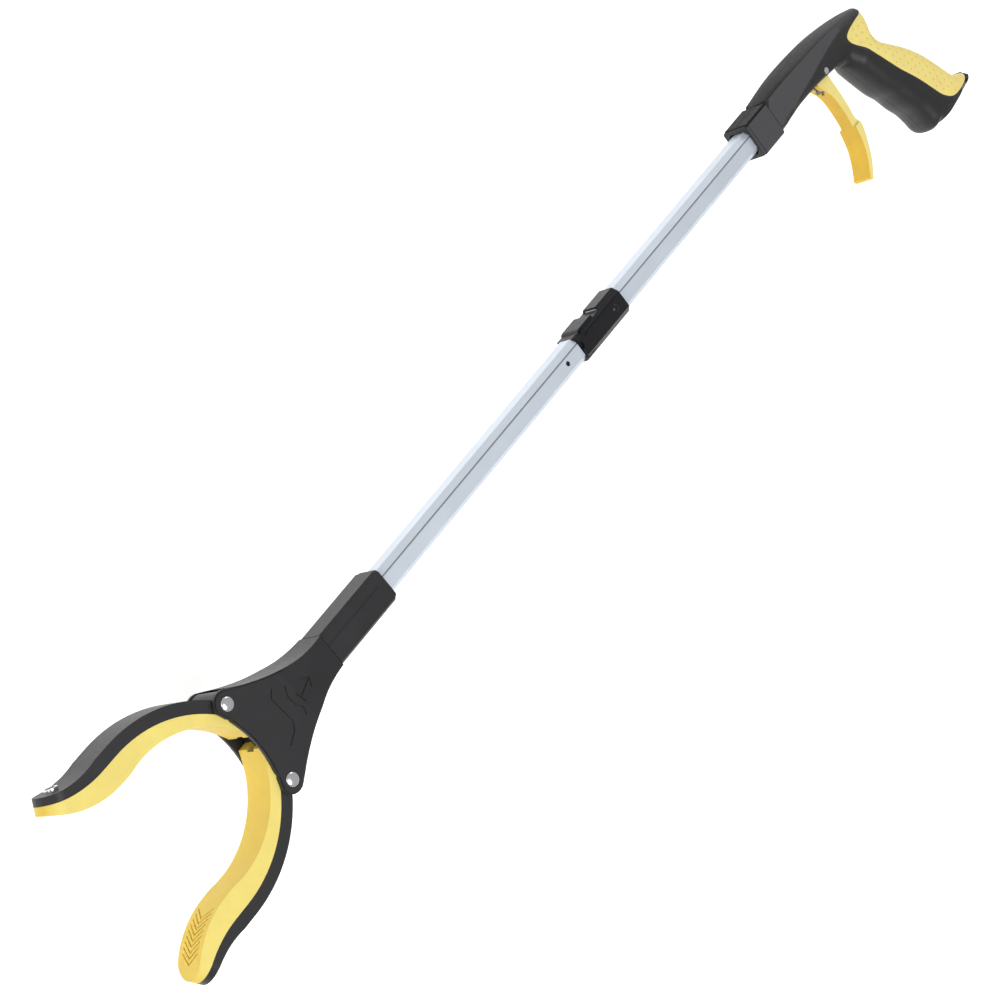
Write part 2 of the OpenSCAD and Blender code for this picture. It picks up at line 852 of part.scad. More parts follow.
// Space the slider plate needs in the jaw, over its whole stroke.
module slider_way() {
  translate([0, 0, -slot_half])
    linear_extrude(2 * slot_half)
      polygon([
        [3.1, 0], [-0.6, 7.4], [-4.3, 14], [-4.3, 21.6], [-30, 21.6], [-30, 0]
      ]);
}

module jaw_arm() {
  half = jaw_width / 2;
  difference() {
    union() {
      intersection() {
        linear_extrude(60, center = true) arm_plan();
        band_limit();
      }
      translate([0, rivet_offset, 0]) rod_z(7, eye_step - half, half - eye_step);
      translate([drive_x, drive_y, 0]) rod_z(3.6, -8.5, 8.5);
      // web from the rivet eye to the drive lug
      translate([0, 0, -8.5])
        linear_extrude(17)
          polygon([
            [drive_x - 3, drive_y + 1.6], [drive_x + 3.2, drive_y - 1.6],
            [2, drive_y + 4], [2, rivet_offset], [-6.8, rivet_offset - 1.8]
          ]);
    }
    // the liner keeps its own space
    translate([0, 0, -20]) linear_extrude(40) gripping_side();
    slider_way();
    translate([0, rivet_offset, 0]) rod_z(rivet_radius + 0.06, -20, 20);
    translate([drive_x, drive_y, 0]) rod_z(drive_radius, -20, 20);
  }
}

module tread_grooves() {
  for (i = [0 : tread_count - 1])
    translate([pad_x, pad_y, 0])
      rotate([0, 0, 14 + 3.2 * i])
        translate([0, -pad_radius, 0])
          for (z = [-1, 1])
            rotate([0, -38 * z, 0])
              translate([-0.45, -0.8, z > 0 ? -0.3 : -9.2]) cube([0.9, 1.6, 9.5]);
}

module jaw_liner() {
  difference() {
    intersection() {
      linear_extrude(60, center = true) liner_plan();
      band_limit();
    }
    slider_way();
    tread_grooves();
  }
}

module drive_pin() {
  translate([drive_x, drive_y, 0]) rod_z(drive_radius - 0.02, -8.5, 8.5);
}

module outer_frame() {
  a = asin((magnet_x - flare_x) / flare_outer);
  translate([flare_x, flare_y, 0])
    rotate([0, 0, a])
      translate([0, -flare_outer, 0])
        rotate([-90, 0, 0])
          children();
}

module lower_jaw_arm() {
  color("#2f3135") at_rivets() jaw_arm();
}

module lower_jaw_liner() {
  color("#f2cf3e") at_rivets() jaw_liner();
}

module lower_drive_pin() {
  color("#a6a9ae") at_rivets() drive_pin();
}

module upper_jaw_arm() {
  color("#2f3135") at_rivets()
    mirror([0, 1, 0])
      difference() {
        jaw_arm();
        outer_frame() translate([0, 0, -1]) cylinder(r = 3.85, h = 10);
      }
}

module upper_jaw_liner() {
  color("#f2cf3e") at_rivets() mirror([0, 1, 0]) jaw_liner();
}

module upper_drive_pin() {
  color("#a6a9ae") at_rivets() mirror([0, 1, 0]) drive_pin();
}

module magnet_cup() {
  color("#d9dbde") at_rivets()
    mirror([0, 1, 0])
      outer_frame()
        difference() {
          translate([0, 0, -1]) cylinder(r = 3.83, h = 3.6);
          translate([0, 0, -0.2]) cylinder(r = 2.9, h = 10);
        }
}

module magnet() {
  color("#26282b") at_rivets()
    mirror([0, 1, 0])
      outer_frame()
        translate([0, 0, -0.2]) cylinder(r = 2.88, h = 2.5);
}

// ---------- draw ----------

handle_shell_left();
handle_shell_right();
handle_collar();
grip_pad();
handle_screw_front();
handle_screw_neck();
handle_screw_butt();
trigger_pin();
trigger();
rear_tube();
pull_rod_rear();
fold_sleeve();
sleeve_rivet();
fold_pin();
fold_knuckle();
knuckle_rivet();
front_tube();
pull_cable_front();
head_collar();
swivel_bush();
head_shell_left();
head_shell_right();
head_screw_upper();
head_screw_lower();
jaw_rivet_upper();
jaw_rivet_lower();
return_spring();
pull_slider();
upper_jaw_arm();
upper_jaw_liner();
upper_drive_pin();
lower_jaw_arm();
lower_jaw_liner();
lower_drive_pin();
magnet_cup();
magnet();
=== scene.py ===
"""Looks of the folding reacher grabber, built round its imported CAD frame. Metres."""
import json
import math

import bmesh
import bpy
import numpy as np
from mathutils import Matrix, Vector
from mathutils.geometry import delaunay_2d_cdt


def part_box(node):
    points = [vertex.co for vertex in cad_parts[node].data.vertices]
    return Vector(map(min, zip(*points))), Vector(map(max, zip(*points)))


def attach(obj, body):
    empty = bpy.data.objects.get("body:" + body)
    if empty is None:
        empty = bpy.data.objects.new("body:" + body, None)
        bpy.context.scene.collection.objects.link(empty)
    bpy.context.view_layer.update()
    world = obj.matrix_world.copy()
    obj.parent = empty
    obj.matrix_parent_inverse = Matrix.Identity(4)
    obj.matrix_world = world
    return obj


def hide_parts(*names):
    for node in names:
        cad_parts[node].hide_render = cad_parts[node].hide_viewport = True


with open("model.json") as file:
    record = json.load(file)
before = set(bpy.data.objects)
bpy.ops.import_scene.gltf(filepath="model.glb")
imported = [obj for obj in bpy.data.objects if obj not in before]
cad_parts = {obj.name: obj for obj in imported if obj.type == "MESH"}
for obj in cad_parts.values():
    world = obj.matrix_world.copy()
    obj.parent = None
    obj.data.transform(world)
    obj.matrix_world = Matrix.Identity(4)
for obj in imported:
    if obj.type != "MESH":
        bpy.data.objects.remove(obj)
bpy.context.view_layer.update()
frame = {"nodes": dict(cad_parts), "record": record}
nodes = frame["nodes"]
scene = bpy.context.scene

MM = 0.001

# ---------- colours, linear ----------

BLACK_SHELL = (0.026, 0.026, 0.028)
BLACK_JOINT = (0.010, 0.0105, 0.012)
PAD_YELLOW = (0.90, 0.74, 0.24)
TRIGGER_PALE = (0.92, 0.78, 0.26)
# Painted shade: darker orange for the trigger's front face.
TRIGGER_FRONT_SHADE = (0.72, 0.44, 0.018)
LINER_PALE = (0.88, 0.72, 0.19)
# Painted shade: darker gold for the liner's gripping faces.
LINER_SHADED_FACE = (0.78, 0.56, 0.07)
# Painted shade colour for the grip pad's dimples.
DIMPLE_SHADE_COLOR = (0.62, 0.43, 0.10)
TUBE_BLUE = (0.68, 0.74, 0.82)
STEEL = (0.56, 0.57, 0.59)
CHROME = (0.86, 0.87, 0.89)
MAGNET_DARK = (0.03, 0.03, 0.034)
FLOOR_WHITE = (0.93, 0.93, 0.93)


# ---------- materials ----------

class Nodes:
    """Short way to build a node tree."""

    def __init__(self, name):
        self.material = bpy.data.materials.new(name)
        self.material.use_nodes = True
        self.tree = self.material.node_tree
        self.shader = self.tree.nodes["Principled BSDF"]
        self.coord = self.add("ShaderNodeTexCoord").outputs["Object"]

    def add(self, kind, **settings):
        node = self.tree.nodes.new(kind)
        for key, value in settings.items():
            setattr(node, key, value)
        return node

    def link(self, source, target):
        self.tree.links.new(source, target)

    def noise(self, scale, detail=4.0, rough=0.6, coord=None):
        node = self.add("ShaderNodeTexNoise")
        node.inputs["Scale"].default_value = scale
        node.inputs["Detail"].default_value = detail
        node.inputs["Roughness"].default_value = rough
        self.link(coord or self.coord, node.inputs["Vector"])
        return node.outputs["Fac"]

    def stretched(self, x, y, z):
        node = self.add("ShaderNodeMapping")
        node.inputs["Scale"].default_value = (x, y, z)
        self.link(self.coord, node.inputs["Vector"])
        return node.outputs["Vector"]

    def ramp(self, fac, stops):
        node = self.add("ShaderNodeValToRGB")
        elements = node.color_ramp.elements
        while len(elements) < len(stops):
            elements.new(0.5)
        for element, (place, color) in zip(elements, stops):
            element.position = place
            element.color = (*color, 1.0)
        self.link(fac, node.inputs["Fac"])
        return node.outputs["Color"]

    def range(self, value, low, high, to_low, to_high):
        node = self.add("ShaderNodeMapRange")
        for key, number in (("From Min", low), ("From Max", high), ("To Min", to_low), ("To Max", to_high)):
            node.inputs[key].default_value = number
        self.link(value, node.inputs["Value"])
        return node.outputs["Result"]

    def mix(self, fac, a, b):
        node = self.add("ShaderNodeMix", data_type="RGBA")
        self.link(fac, node.inputs["Factor"])
        for value, socket in ((a, node.inputs[6]), (b, node.inputs[7])):
            if isinstance(value, tuple):
                socket.default_value = (*value, 1.0)
            else:
                self.link(value, socket)
        return node.outputs[2]

    def bump(self, height, strength, distance, normal=None):
        node = self.add("ShaderNodeBump")
        node.inputs["Strength"].default_value = strength
        node.inputs["Distance"].default_value = distance
        self.link(height, node.inputs["Height"])
        if normal is not None:
            self.link(normal, node.inputs["Normal"])
        return node.outputs["Normal"]

    def normals(self):
        """The X, Y and Z parts of the object's own normals."""
        parts = self.add("ShaderNodeSeparateXYZ")
        self.link(self.tree.nodes["Texture Coordinate"].outputs["Normal"], parts.inputs[0])
        return parts.outputs

    def absolute(self, value):
        node = self.add("ShaderNodeMath", operation="ABSOLUTE")
        self.link(value, node.inputs[0])
        return node.outputs[0]

    def edges(self):
        """1 on outward edges, 0 elsewhere."""
        point = self.add("ShaderNodeNewGeometry").outputs["Pointiness"]
        return self.range(point, 0.52, 0.60, 0.0, 1.0)

    def set(self, **values):
        for key, value in values.items():
            socket = self.shader.inputs[key.replace("_", " ")]
            if isinstance(value, (int, float)):
                socket.default_value = value
            elif isinstance(value, tuple):
                socket.default_value = (*value, 1.0) if socket.type == "RGBA" else value
            else:
                self.link(value, socket)
        return self.material


def shade(color, k):
    return tuple(min(1.0, c * k) for c in color)


def moulded_plastic(name, color, rough, grain=1.0, wear=1.0, painted_side_light=None):
    """Satin moulded plastic: fine spark texture, faint flow clouds, edges rubbed lighter.

    With the facet option, the flat side gets a painted highlight where that attribute says, or everywhere
    for "all", and the faces along the tool's back get painted shade and less gloss.
    """
    n = Nodes(name)
    spark = n.noise(5200, 2.0, 0.7)
    cloud = n.noise(38, 5.0, 0.6)
    scuff = n.noise(420, 6.0, 0.75, n.stretched(1.0, 0.25, 1.0))
    base = n.ramp(cloud, [(0.3, shade(color, 0.9)), (0.7, shade(color, 1.12))])
    worn = n.mix(n.edges(), base, shade(color, wear)) if wear > 1 else base
    dust_and_painted_light = n.mix(n.range(scuff, 0.62, 0.8, 0.0, 0.35), worn, shade(color, 1.5))
    gloss = 0.28
    if painted_side_light:
        normals = n.normals()
        # Painted highlight on the flat sides whose normals point along Z.
        light = n.range(n.absolute(normals["Z"]), 0.93, 0.985, 0.0, 0.85)
        if painted_side_light != "all":
            both = n.add("ShaderNodeMath", operation="MULTIPLY")
            n.link(light, both.inputs[0])
            n.link(n.add("ShaderNodeAttribute", attribute_name=painted_side_light).outputs["Fac"], both.inputs[1])
            light = both.outputs[0]
        dust_and_painted_light = n.mix(light, dust_and_painted_light, shade(color, 3.1))
        # Painted shade on the faces along the tool's back.
        dust_and_painted_light = n.mix(n.range(normals["Y"], -0.75, -0.45, 0.95, 0.0), dust_and_painted_light, shade(color, 0.3))
        gloss = n.range(normals["Y"], -0.75, -0.45, 0.05, 0.28)
    normal = n.bump(cloud, 0.04, 0.4 * MM, n.bump(spark, 0.16 * grain, 0.05 * MM))
    return n.set(
        Base_Color=dust_and_painted_light, Roughness=n.range(scuff, 0.3, 0.75, rough - 0.05, rough + 0.08),
        Specular_IOR_Level=gloss, Normal=normal,
    )


def soft_rubber(name, color, rough, scale=1.0, hollows=None, faces=None):
    """Matt rubber with a fine pebble and painted shade in its hollows; with hollows, painted shade in the
    pad's dimples too, and with faces, painted shade off its flat sides.
    """
    n = Nodes(name)
    pebble = n.add("ShaderNodeTexVoronoi", feature="SMOOTH_F1")
    pebble.inputs["Scale"].default_value = 1300 * scale
    n.link(n.coord, pebble.inputs["Vector"])
    cloud = n.noise(60, 5.0, 0.6)
    point = n.add("ShaderNodeNewGeometry").outputs["Pointiness"]
    base = n.ramp(cloud, [(0.3, shade(color, 0.95)), (0.7, shade(color, 1.04))])
    # Painted shade: faces turned off the flat sides take the darker colour.
    if faces:
        shaded_face_tone = n.ramp(cloud, [(0.3, shade(faces, 0.93)), (0.7, shade(faces, 1.05))])
        base = n.mix(n.range(n.absolute(n.normals()["Z"]), 0.45, 0.9, 0.0, 1.0), shaded_face_tone, base)
    # Painted shade where the surface is concave.
    shadow = (color[0] * 0.66, color[1] * 0.5, color[2] * 0.35)
    deep = n.mix(n.range(point, 0.36, 0.49, 0.75, 0.0), base, shadow)
    # Painted shade in the pad's dimples.
    if hollows:
        mark = n.add("ShaderNodeAttribute", attribute_name="hollow").outputs["Fac"]
        deep = n.mix(n.range(mark, 0.1, 0.9, 0.0, 0.8), deep, hollows)
    normal = n.bump(cloud, 0.05, 0.4 * MM, n.bump(pebble.outputs["Distance"], 0.12, 0.08 * MM))
    return n.set(
        Base_Color=deep, Roughness=n.range(cloud, 0.3, 0.7, rough - 0.05, rough + 0.05),
        Specular_IOR_Level=0.4, Subsurface_Weight=0.05, Subsurface_Radius=(0.002, 0.001, 0.0004),
        Normal=normal,
    )


def trigger_plastic(name):
    """Smooth moulding, pale on the side walls, with a darker orange painted shade on the front face."""
    n = Nodes(name)
    # Painted shade on the faces turned towards the front.
    front = n.range(n.normals()["X"], 0.25, 0.62, 0.0, 1.0)
    cloud = n.noise(45, 4.0, 0.55)
    pale = n.ramp(cloud, [(0.3, shade(TRIGGER_PALE, 0.96)), (0.7, shade(TRIGGER_PALE, 1.03))])
    front_shade = n.ramp(cloud, [(0.3, shade(TRIGGER_FRONT_SHADE, 0.88)), (0.7, shade(TRIGGER_FRONT_SHADE, 1.1))])
    spark = n.noise(4200, 2.0, 0.7)
    return n.set(
        Base_Color=n.mix(front, pale, front_shade), Roughness=n.range(cloud, 0.3, 0.7, 0.34, 0.46),
        Specular_IOR_Level=0.5, Subsurface_Weight=0.06, Subsurface_Radius=(0.003, 0.0015, 0.0005),
        Normal=n.bump(spark, 0.1, 0.04 * MM),
    )


def brushed_metal(name, color, rough, along, metallic=1.0, lines=0.12, groove=None):
    """Drawn metal: fine lines along its length, faint cloudiness and small handling marks.

    With groove, a band of Y gets painted shade, for the shade in a drawn groove.
    """
    n = Nodes(name)
    hair = n.noise(1.0, 4.0, 0.7, n.stretched(*along))
    cloud = n.noise(24, 5.0, 0.6)
    marks = n.noise(700, 6.0, 0.8)
    base = n.ramp(cloud, [(0.3, shade(color, 0.95)), (0.7, shade(color, 1.05))])
    tone = n.mix(n.range(hair, 0.35, 0.65, 0.0, 0.4), base, shade(color, 0.86))
    if groove:
        parts = n.add("ShaderNodeSeparateXYZ")
        n.link(n.coord, parts.inputs[0])
        inside_low = n.range(parts.outputs["Y"], groove[0] - 0.1 * MM, groove[0] + 0.1 * MM, 0.0, 1.0)
        inside_high = n.range(parts.outputs["Y"], groove[1] - 0.1 * MM, groove[1] + 0.1 * MM, 0.9, 0.0)
        both = n.add("ShaderNodeMath", operation="MULTIPLY")
        n.link(inside_low, both.inputs[0])
        n.link(inside_high, both.inputs[1])
        # Painted shade along the groove.
        tone = n.mix(both.outputs[0], tone, shade(color, 0.3))
    return n.set(
        Base_Color=tone, Metallic=metallic,
        Roughness=n.range(marks, 0.3, 0.8, rough - 0.04, rough + 0.08),
        Normal=n.bump(hair, lines, 0.03 * MM),
    )


def dark_ceramic(name):
    n = Nodes(name)
    grain = n.noise(2600, 5.0, 0.8)
    base = n.ramp(grain, [(0.35, shade(MAGNET_DARK, 0.8)), (0.65, shade(MAGNET_DARK, 1.6))])
    return n.set(Base_Color=base, Roughness=0.45, Metallic=0.6, Normal=n.bump(grain, 0.25, 0.06 * MM))


def floor_paper(name):
    n = Nodes(name)
    fibre = n.noise(90, 4.0, 0.6)
    base = n.ramp(fibre, [(0.3, shade(FLOOR_WHITE, 0.995)), (0.7, FLOOR_WHITE)])
    return n.set(
        Base_Color=base, Roughness=0.95, Specular_IOR_Level=0.1, Emission_Color=base, Emission_Strength=0.6,
        Normal=n.bump(fibre, 0.02, MM),
    )


# Both tubes have a groove along their side, at the same distance from the axis; the tube material paints
# shade along that band.
tube_low, tube_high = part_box("rear_tube")
tube_axis = (tube_low.y + tube_high.y) / 2
GROOVE_SHADE_BAND = (tube_axis - 4.25 * MM, tube_axis - 3.35 * MM)

MATERIALS = {
    "black_shell": moulded_plastic("black_shell", BLACK_SHELL, 0.42),
    "black_joint": moulded_plastic("black_joint", BLACK_JOINT, 0.38, 0.8),
    "pad_yellow": soft_rubber("pad_yellow", PAD_YELLOW, 0.62, hollows=DIMPLE_SHADE_COLOR),
    "trigger_yellow": trigger_plastic("trigger_yellow"),
    # Liner: painted shade on its gripping faces.
    "liner_yellow": soft_rubber("liner_yellow", LINER_PALE, 0.5, 0.8, faces=LINER_SHADED_FACE),
    "tube_metal": brushed_metal("tube_metal", TUBE_BLUE, 0.42, (60, 4200, 4200), 0.35, groove=GROOVE_SHADE_BAND),
    "bright_rivet": brushed_metal("bright_rivet", CHROME, 0.14, (900, 900, 900), 1.0, 0.03),
    "steel": brushed_metal("steel", STEEL, 0.3, (120, 3000, 3000)),
    "black_steel": moulded_plastic("black_steel", BLACK_JOINT, 0.3, 0.4),
    "magnet_dark": dark_ceramic("magnet_dark"),
}

# Handle shells: painted highlight on the flat side above the crease, painted shade along the back.
PAINTED_LIGHT_HANDLE = moulded_plastic("painted_light_handle_shell", BLACK_SHELL, 0.42, wear=1.8, painted_side_light="painted_side_light")
# Collar: painted highlight on all its flat sides, painted shade along the back.
PAINTED_LIGHT_COLLAR = moulded_plastic("painted_light_collar_shell", BLACK_SHELL, 0.42, painted_side_light="all")
ROD_STEEL = brushed_metal("steel_rod", shade(STEEL, 0.3), 0.45, (120, 3000, 3000))
SPECIAL = {"handle_collar": PAINTED_LIGHT_COLLAR, "pull_rod_rear": ROD_STEEL}


# ---------- finish of the carried-over nodes ----------

def smooth_by_angle(degrees):
    """Node group that shades smooth and keeps edges sharper than the angle crisp."""
    group = bpy.data.node_groups.new(f"smooth_{degrees}", "GeometryNodeTree")
    group.interface.new_socket("Geometry", in_out="INPUT", socket_type="NodeSocketGeometry")
    group.interface.new_socket("Geometry", in_out="OUTPUT", socket_type="NodeSocketGeometry")
    add, link = group.nodes.new, group.links.new
    entry, result = add("NodeGroupInput"), add("NodeGroupOutput")
    angle, above = add("GeometryNodeInputMeshEdgeAngle"), add("FunctionNodeCompare")
    faces, edges = add("GeometryNodeSetShadeSmooth"), add("GeometryNodeSetShadeSmooth")
    faces.domain, edges.domain = "FACE", "EDGE"
    faces.inputs["Shade Smooth"].default_value = True
    edges.inputs["Shade Smooth"].default_value = False
    above.operation = "GREATER_THAN"
    above.inputs[1].default_value = math.radians(degrees)
    link(entry.outputs[0], faces.inputs["Geometry"])
    link(faces.outputs["Geometry"], edges.inputs["Geometry"])
    link(angle.outputs["Unsigned Angle"], above.inputs[0])
    link(above.outputs[0], edges.inputs["Selection"])
    link(edges.outputs["Geometry"], result.inputs[0])
    return group


SMOOTH = smooth_by_angle(32)
FLAT_SMOOTH = smooth_by_angle(11)
PLANE_SMOOTH = smooth_by_angle(6)
COARSE = ("return_spring", "trigger", "pull_rod_rear", "magnet_cup", "magnet")


def finish_edges(obj, width, smooth):
    """Joins the mesh's corners, rounds its sharp edges and shades it smooth."""
    weld = obj.modifiers.new("weld", "WELD")
    weld.merge_threshold = 0.002 * MM
    shading = obj.modifiers.new("shading", "NODES")
    shading.node_group = smooth
    if width > 0:
        bevel = obj.modifiers.new("edge", "BEVEL")
        bevel.width = width
        bevel.segments = 2
        bevel.limit_method = "ANGLE"
        bevel.angle_limit = math.radians(34)
        bevel.use_clamp_overlap = True
        bevel.harden_normals = True


EDGE_WIDTH = {
    "handle_collar": 0.5, "head_collar": 0.5, "head_shell_left": 0.5, "head_shell_right": 0.5,
    "upper_jaw_arm": 0.5, "lower_jaw_arm": 0.5, "upper_jaw_liner": 0.4, "lower_jaw_liner": 0.4,
    "fold_sleeve": 0.4, "fold_knuckle": 0.3, "rear_tube": 0.25, "front_tube": 0.25,
    "trigger": 0.6, "magnet_cup": 0.2, "pull_slider": 0.3, "trigger_pin": 0.3,
}

slots = {row["node"]: row["material_slot"] for row in frame["record"]["subparts"]}
for name, obj in nodes.items():
    obj.data.materials.clear()
    obj.data.materials.append(SPECIAL.get(name, MATERIALS[slots[name]]))
    smooth = SMOOTH if name in COARSE else PLANE_SMOOTH if name.startswith("head_shell") else FLAT_SMOOTH
    finish_edges(obj, EDGE_WIDTH.get(name, 0) * MM, smooth=smooth)


# ---------- rivets ----------

def lathe(name, profile, centre, segments=56):
    """Solid turned about an upright axis through centre, from (radius, height) points."""
    work = bmesh.new()
    rings = []
    for radius, z in profile:
        if radius == 0:
            rings.append([work.verts.new((*centre, z))])
            continue
        turn = [2 * math.pi * i / segments for i in range(segments)]
        around = [(centre[0] + radius * math.cos(a), centre[1] + radius * math.sin(a)) for a in turn]
        rings.append([work.verts.new((x, y, z)) for x, y in around])
    for low, high in zip(rings, rings[1:]):
        for i in range(segments):
            j = (i + 1) % segments
            ring = [low[i % len(low)], low[j % len(low)], high[j % len(high)], high[i % len(high)]]
            work.faces.new(list(dict.fromkeys(ring)))
    bmesh.ops.recalc_face_normals(work, faces=work.faces)
    for face in work.faces:
        face.smooth = True
    mesh = bpy.data.meshes.new(name)
    work.to_mesh(mesh)
    work.free()
    obj = bpy.data.objects.new(name, mesh)
    scene.collection.objects.link(obj)
    return obj


def build_rivets():
    """Domed rivets with a rolled rim under each head."""
    for side in ("upper", "lower"):
        node = f"jaw_rivet_{side}"
        low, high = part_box(node)
        centre = ((low.x + high.x) / 2, (low.y + high.y) / 2)
        radius, shank, crown = (high.x - low.x) / 2, 2.48 * MM, 1.5 * MM
        rim = 0.35 * MM
        steps = [math.radians(90 * k / 9) for k in range(10)]
        dome = [(radius * math.cos(a), rim + (crown - rim) * math.sin(a)) for a in steps]
        head = [(radius - 0.25 * MM, 0.0), (radius, 0.15 * MM)] + dome[:-1] + [(0.0, crown)]
        face_low, face_high = low.z + crown, high.z - crown
        profile = [(r, face_low - h) for r, h in reversed(head)] + [(shank, face_low), (shank, face_high)]
        profile += [(r, face_high + h) for r, h in head]
        piece = lathe(f"{node}_turned", profile, centre)
        piece.data.materials.append(MATERIALS["bright_rivet"])
        shading = piece.modifiers.new("shading", "NODES")
        shading.node_group = SMOOTH
        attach(piece, "head")
        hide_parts(node)


build_rivets()


# ---------- handle skin: one height field over the side outline, split into shell and pad ----------

HALF = 14.5
TOP = [
    (24, -11.6), (39, -12.4), (52, -12.8), (72, -12.6), (92, -11.7), (106, -10.4),
    (122, -8.2), (134, -5.8), (140.5, -4),
]
PAD_REAR = [
    (140.5, -4), (139.3, -2.1), (135.5, 6), (133, 12.6), (135, 19.4), (141.6, 26.6), (150.8, 36),
    (159.5, 48), (166.6, 62), (171.4, 72), (175.6, 77), (185, 80.8),
]
HEEL = [(185, 80.8), (187.3, 82), (187, 84.4), (184, 85.8), (170, 88), (152, 90.2), (139, 91.2)]
GRIP_FRONT = [
    (139, 91.2), (133.5, 90.5), (131, 86), (130, 80.5), (128, 72.8), (123.6, 64), (120, 54.3),
    (115.5, 46.5), (111.4, 36), (107, 24), (104, 16.5),
]
BODY_UNDER = [
    (104, 16.5), (101, 13.6), (96, 12.4), (85, 11.2), (76, 10), (65, 9.2), (49.5, 9.2),
    (39, 10.2), (29, 11.4), (24, 11.6),
]
PAD_EDGE = [
    (184, 80.4), (176, 82.5), (165.4, 83.9), (157, 82.7), (150.4, 76.6), (146.5, 69), (139.7, 55.3),
    (132, 42.7), (125, 29), (118, 15.5), (111.8, 4.4), (114.3, 0.6), (125, -1), (139.3, -2.1),
]
CREASE = [(25, 9.6), (38, 6), (55, 1.8), (80, -2.6), (108, -6), (134, -5.2)]
PIVOT = (80.5, 5.6)
SCREWS = ((98, -2.5), (125.5, 47), (141.5, 80.5))
GRIP_AXIS = np.array((0.56, 0.83))
SLOT = ((61, -3, -6.2), (103, 20, 6.2))
PIN_BORE = 2.03
SCREW_SEAT = 3.25
SCREW_SEAT_FLOOR = -9.0
MOUTH = 24
MOUTH_HALF = 10.7
GRIP_ROOT = np.array((117, 17))
PAD_RISE = 0.35
DIMPLE_DEPTH = 0.55
# Reach of the painted shade around each dimple centre.
DIMPLE_SHADE_REACH = 0.9
SHELL_SEAM = 0.1
ON_CREASE = 0.05


def spline(points, steps):
    """Points on a smooth open curve through the given ones."""
    p = [np.array(q, float) for q in points]
    out = []
    for i in range(len(p) - 1):
        a, b, c, d = p[max(i - 1, 0)], p[i], p[i + 1], p[min(i + 2, len(p) - 1)]
        for u in np.arange(steps) / steps:
            bend = (2 * a - 5 * b + 4 * c - d) * u**2 + (3 * b - a - 3 * c + d) * u**3
            out.append(0.5 * (2 * b + (c - a) * u + bend))
    return np.array(out + [p[-1]])


def resample(line, spacing):
    length = np.r_[0, np.cumsum(np.hypot(*np.diff(line, axis=0).T))]
    n = max(2, int(round(length[-1] / spacing)) + 1)
    at = np.linspace(0, length[-1], n)
    return np.c_[np.interp(at, length, line[:, 0]), np.interp(at, length, line[:, 1])]


def distance(points, line):
    """Distance from each point to an open line."""
    a, b = line[:-1], line[1:]
    ab = b - a
    best = np.full(len(points), 1e9)
    for start, step in zip(a, ab):
        u = np.clip((points - start) @ step / max(step @ step, 1e-12), 0, 1)
        best = np.minimum(best, np.hypot(*(points - start - u[:, None] * step).T))
    return best


def inside(points, ring):
    x, y = points.T
    hit = np.zeros(len(points), bool)
    for (x0, y0), (x1, y1) in zip(ring, np.roll(ring, -1, axis=0)):
        cross = (y0 > y) != (y1 > y)
        hit ^= cross & (x < (x1 - x0) * (y - y0) / (y1 - y0 + 1e-12) + x0)
    return hit


def ease(x):
    x = np.clip(x, 0, 1)
    return x * x * (3 - 2 * x)


def rounding(d, radius, power=2.4):
    """Share of the full height at distance d from an edge of that radius."""
    return (1 - (1 - np.clip(d / radius, 0, 1)) ** power) ** (1 / power)


class Outline:
    """Side outline of the handle with the radius of each of its edges."""

    def __init__(self, spacing=1.5):
        groups = ((TOP, 1.4), (PAD_REAR, 9.0), (HEEL, 3.0), (GRIP_FRONT, 12.0), (BODY_UNDER, 4.5),
                  ([BODY_UNDER[-1], (MOUTH, 0), TOP[0]], 0.35))
        self.lines = [(resample(spline(points, 6), spacing), radius) for points, radius in groups]
        self.ring = np.concatenate([line[:-1] for line, _ in self.lines])
        self.radius = np.concatenate([np.full(len(line) - 1, radius) for line, radius in self.lines])
        following = np.roll(self.ring, -1, axis=0)
        area = np.sum(self.ring[:, 0] * following[:, 1] - following[:, 0] * self.ring[:, 1])
        step = following - np.roll(self.ring, 1, axis=0)
        self.inward = np.c_[-step[:, 1], step[:, 0]] * np.sign(area)
        self.inward /= np.hypot(*self.inward.T)[:, None]
        self.crease = spline(CREASE, 6)

    def depth(self, points):
        return distance(points, np.vstack([self.ring, self.ring[:1]]))

    def height(self, points):
        s, t = points.T
        side = MOUTH_HALF + (HALF - MOUTH_HALF) * ease((s - MOUTH) / 46)
        side = side * (1 - 0.28 * ease((s - 104) / 38) * ease((6 - t) / 9))
        fall = t - np.interp(s, self.crease[:, 0], self.crease[:, 1])
        body = side - 0.32 * np.maximum(fall, 0)
        entry = (points - GRIP_ROOT) @ GRIP_AXIS
        grip = HALF + 0.5 * entry
        soft = 2.5
        joined = np.where(fall > 0, 0.5 * (body + grip + np.sqrt((body - grip) ** 2 + soft**2)) - 0.35, side)
        base = np.minimum(joined, np.maximum(side, 6))
        share = np.ones(len(points))
        for line, radius in self.lines:
            share *= rounding(distance(points, line), radius)
        return base * share


def dimple_centres(outline, edge):
    """Staggered rows of dimples along the pad, clear of its borders."""
    across = np.array((GRIP_AXIS[1], -GRIP_AXIS[0]))
    rows = [
        np.array((111, 0)) + GRIP_AXIS * (6.6 * i + 3.3 * (j % 2)) + across * 3.3 * j
        for i in range(-2, 20) for j in range(-4, 15)
    ]
    points = np.array(rows)
    pad = inside(points, np.vstack([spline(PAD_REAR, 4), edge]))
    keep = pad & (distance(points, edge) > 2.2) & (outline.depth(points) > 2.0)
    return points[keep]


